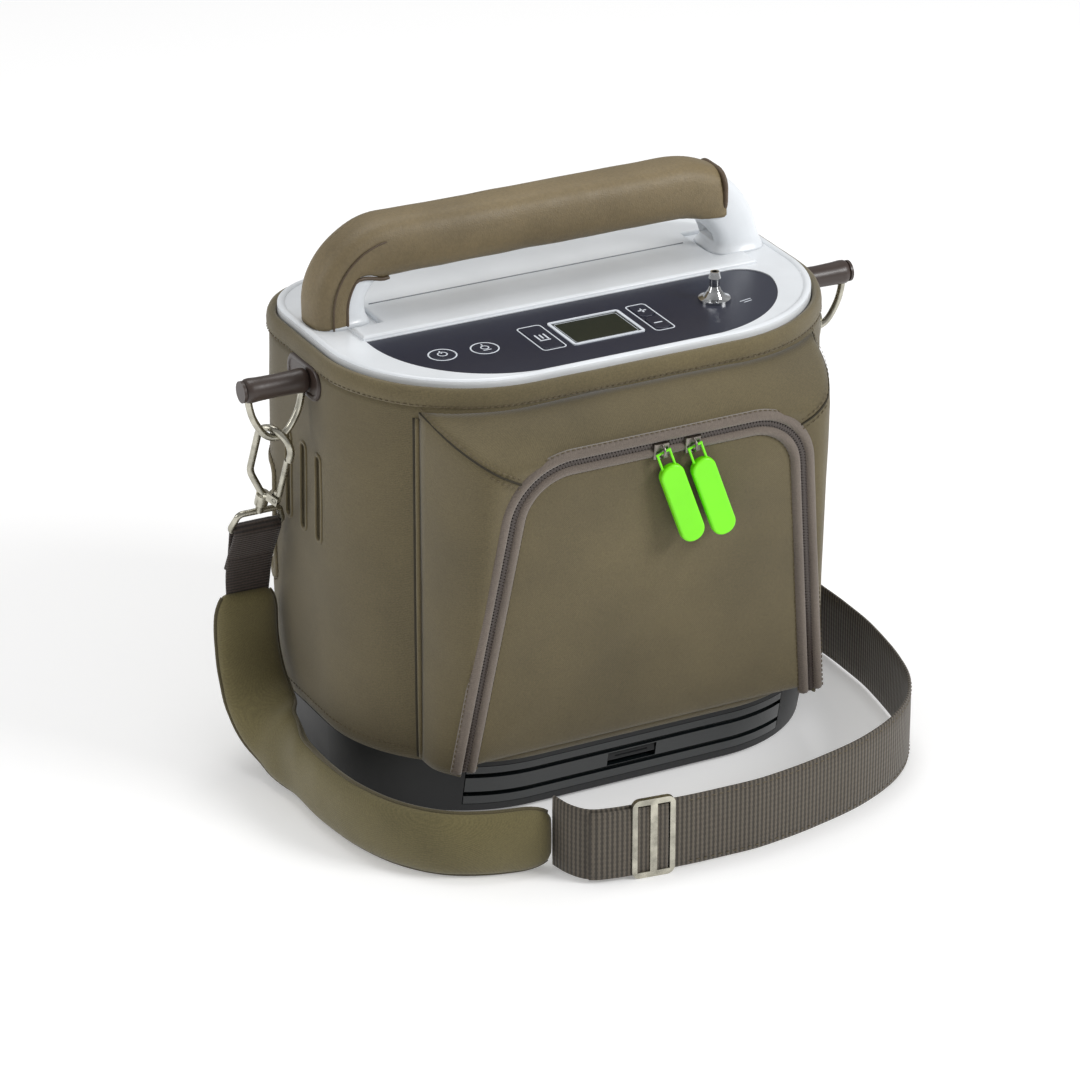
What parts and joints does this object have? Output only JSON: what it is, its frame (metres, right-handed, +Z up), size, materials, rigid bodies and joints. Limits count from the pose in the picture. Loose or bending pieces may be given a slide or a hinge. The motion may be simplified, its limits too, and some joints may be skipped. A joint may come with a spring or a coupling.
{
  "type": "oxygen concentrator",
  "caption": "Portable oxygen concentrator in a padded carry case with a front zip pocket, carry handle, control panel on top, slide-out battery and a hooked shoulder strap.",
  "frame": {"origin": "middle of the device's footprint, on the underside of the centre foot", "axes": "+X to the right of someone facing the control panel, +Y to the back, +Z up"},
  "size_m": [0.3392, 0.2518, 0.282],
  "materials": {
    "base_tray": "moulded",
    "rubber_feet": "matte",
    "battery_pack": "moulded",
    "battery_fascia": "glossy",
    "battery_latch": "moulded",
    "battery_contacts": "bare",
    "contact_block": "moulded",
    "dc_inlet": "moulded",
    "front_housing": "satin",
    "rear_housing": "satin",
    "chassis": "moulded",
    "compressor_block": "cast",
    "cylinder_heads": "cast",
    "compressor_motor": "painted",
    "crank_shaft": "machined",
    "piston_left": "machined",
    "piston_right": "machined",
    "compressor_mounts": "matte",
    "sieve_beds": "machined",
    "product_tank": "machined",
    "valve_manifold": "cast",
    "solenoid_valves": "machined",
    "intake_filter": "foam",
    "fan_housing": "moulded",
    "fan_rotor": "moulded",
    "air_hoses": "silicone",
    "top_housing": "satin",
    "control_panel": "satin film",
    "display_bezel": "satin",
    "display_window": "clear",
    "lcd_module": "liquid crystal",
    "power_key": "film over dome",
    "alarm_key": "film over dome",
    "mode_key": "film over dome",
    "plus_key": "film over dome",
    "minus_key": "film over dome",
    "key_mat": "matte",
    "display_board": "solder mask",
    "main_board": "solder mask",
    "outlet_barb": "satin",
    "deck_fasteners": "machined",
    "handle_frame": "satin",
    "handle_grip": "wrapped grip",
    "carry_case": "woven",
    "case_binding": "woven",
    "pocket_gusset": "woven",
    "pocket_flap": "woven",
    "slider_left": "enamelled",
    "pull_left": "moulded",
    "slider_right": "enamelled",
    "pull_right": "moulded",
    "strap_posts": "moulded",
    "strap_rings": "antique nickel",
    "hook_left": "antique nickel",
    "hook_right": "antique nickel",
    "gate_left": "antique nickel",
    "gate_right": "antique nickel",
    "strap_metal": "antique nickel",
    "strap_webbing": "webbing",
    "shoulder_pad": "padded"
  },
  "bodies": {
    "case": {"base_tray": "base_tray", "rubber_feet": "rubber_feet", "battery_contacts": "battery_contacts", "contact_block": "contact_block", "dc_inlet": "dc_inlet", "front_housing": "front_housing", "rear_housing": "rear_housing", "chassis": "chassis", "compressor_block": "compressor_block", "cylinder_heads": "cylinder_heads", "compressor_motor": "compressor_motor", "compressor_mounts": "compressor_mounts", "sieve_beds": "sieve_beds", "product_tank": "product_tank", "valve_manifold": "valve_manifold", "solenoid_valves": "solenoid_valves", "intake_filter": "intake_filter", "fan_housing": "fan_housing", "air_hoses": "air_hoses", "top_housing": "top_housing", "control_panel": "control_panel", "display_bezel": "display_bezel", "display_window": "display_window", "lcd_module": "lcd_module", "key_mat": "key_mat", "display_board": "display_board", "main_board": "main_board", "outlet_barb": "outlet_barb", "deck_fasteners": "deck_fasteners", "handle_frame": "handle_frame", "handle_grip": "handle_grip", "carry_case": "carry_case", "case_binding": "case_binding", "pocket_gusset": "pocket_gusset", "strap_posts": "strap_posts"},
    "battery": {"battery_pack": "battery_pack", "battery_fascia": "battery_fascia"},
    "latch": {"battery_latch": "battery_latch"},
    "power_key": {"power_key": "power_key"},
    "alarm_key": {"alarm_key": "alarm_key"},
    "mode_key": {"mode_key": "mode_key"},
    "plus_key": {"plus_key": "plus_key"},
    "minus_key": {"minus_key": "minus_key"},
    "crank": {"crank_shaft": "crank_shaft"},
    "left_piston": {"piston_left": "piston_left"},
    "right_piston": {"piston_right": "piston_right"},
    "fan": {"fan_rotor": "fan_rotor"},
    "flap": {"pocket_flap": "pocket_flap"},
    "left_slider": {"slider_left": "slider_left"},
    "right_slider": {"slider_right": "slider_right"},
    "left_pull": {"pull_left": "pull_left"},
    "right_pull": {"pull_right": "pull_right"},
    "strap": {"strap_rings": "strap_rings", "strap_metal": "strap_metal", "strap_webbing": "strap_webbing", "shoulder_pad": "shoulder_pad"},
    "left_hook": {"hook_left": "hook_left"},
    "right_hook": {"hook_right": "hook_right"},
    "left_gate": {"gate_left": "gate_left"},
    "right_gate": {"gate_right": "gate_right"}
  },
  "joints": [
    {"name": "battery_slide", "type": "slide", "parent": "case", "child": "battery", "axis": [0, -1, 0], "range_m": [0, 0.035]},
    {"name": "latch_press", "type": "slide", "parent": "battery", "child": "latch", "axis": [0, 0, -1], "range_m": [0, 0.002], "stiffness_N_per_m": 200, "springref_m": -0.002},
    {"name": "power_press", "type": "slide", "parent": "case", "child": "power_key", "axis": [0, 0, -1], "range_m": [0, 0.0007], "stiffness_N_per_m": 400, "springref_m": -0.0005},
    {"name": "alarm_press", "type": "slide", "parent": "case", "child": "alarm_key", "axis": [0, 0, -1], "range_m": [0, 0.0007], "stiffness_N_per_m": 400, "springref_m": -0.0005},
    {"name": "mode_press", "type": "slide", "parent": "case", "child": "mode_key", "axis": [0, 0, -1], "range_m": [0, 0.0007], "stiffness_N_per_m": 400, "springref_m": -0.0005},
    {"name": "plus_press", "type": "slide", "parent": "case", "child": "plus_key", "axis": [0, 0, -1], "range_m": [0, 0.0007], "stiffness_N_per_m": 400, "springref_m": -0.0005},
    {"name": "minus_press", "type": "slide", "parent": "case", "child": "minus_key", "axis": [0, 0, -1], "range_m": [0, 0.0007], "stiffness_N_per_m": 400, "springref_m": -0.0005},
    {"name": "crank_spin", "type": "hinge", "parent": "case", "child": "crank", "pos_m": [0.035, 0, 0.075], "axis": [0, 1, 0], "continuous": true},
    {"name": "left_stroke", "type": "slide", "parent": "case", "child": "left_piston", "axis": [-1, 0, 0], "range_m": [-0.005, 0.005]},
    {"name": "right_stroke", "type": "slide", "parent": "case", "child": "right_piston", "axis": [1, 0, 0], "range_m": [-0.005, 0.005]},
    {"name": "fan_spin", "type": "hinge", "parent": "case", "child": "fan", "pos_m": [0.111, 0.012, 0.154], "axis": [1, 0, 0], "continuous": true},
    {"name": "flap_open", "type": "hinge", "parent": "case", "child": "flap", "pos_m": [0, -0.087, 0.036], "axis": [1, 0, 0], "range_deg": [0, 60]},
    {"name": "left_zip", "type": "slide", "parent": "flap", "child": "left_slider", "axis": [-1, 0, 0], "range_m": [0, 0.042]},
    {"name": "right_zip", "type": "slide", "parent": "flap", "child": "right_slider", "axis": [1, 0, 0], "range_m": [0, 0.029]},
    {"name": "left_pull_swing", "type": "hinge", "parent": "left_slider", "child": "left_pull", "pos_m": [-0.002, -0.11196, 0.19412], "axis": [0.9397, -0.0429, 0.3393], "range_deg": [-120, 3]},
    {"name": "right_pull_swing", "type": "hinge", "parent": "right_slider", "child": "right_pull", "pos_m": [0.015, -0.11196, 0.19412], "axis": [0.9397, -0.0429, 0.3393], "range_deg": [-120, 3]},
    {"name": "strap_swing", "type": "hinge", "parent": "case", "child": "strap", "pos_m": [0, 0.005, 0.213], "axis": [1, 0, 0], "range_deg": [-280, 0]},
    {"name": "left_hook_swivel", "type": "hinge", "parent": "strap", "child": "left_hook", "pos_m": [-0.15, 0.02533, 0.14241], "axis": [0, -0.4226, 0.9063], "range_deg": [-60, 8]},
    {"name": "right_hook_swivel", "type": "hinge", "parent": "strap", "child": "right_hook", "pos_m": [0.15, 0.02533, 0.14241], "axis": [0, -0.4226, 0.9063], "range_deg": [-8, 60]},
    {"name": "left_gate_press", "type": "hinge", "parent": "left_hook", "child": "left_gate", "pos_m": [-0.1462, 0.01539, 0.14814], "axis": [0.866, 0.4532, 0.2113], "range_deg": [-22, 0], "stiffness_Nm_per_rad": 0.02, "springref_deg": 11.46},
    {"name": "right_gate_press", "type": "hinge", "parent": "right_hook", "child": "right_gate", "pos_m": [0.1462, 0.01539, 0.14814], "axis": [-0.866, 0.4532, 0.2113], "range_deg": [0, 22], "stiffness_Nm_per_rad": 0.02, "springref_deg": -11.46}
  ]
}
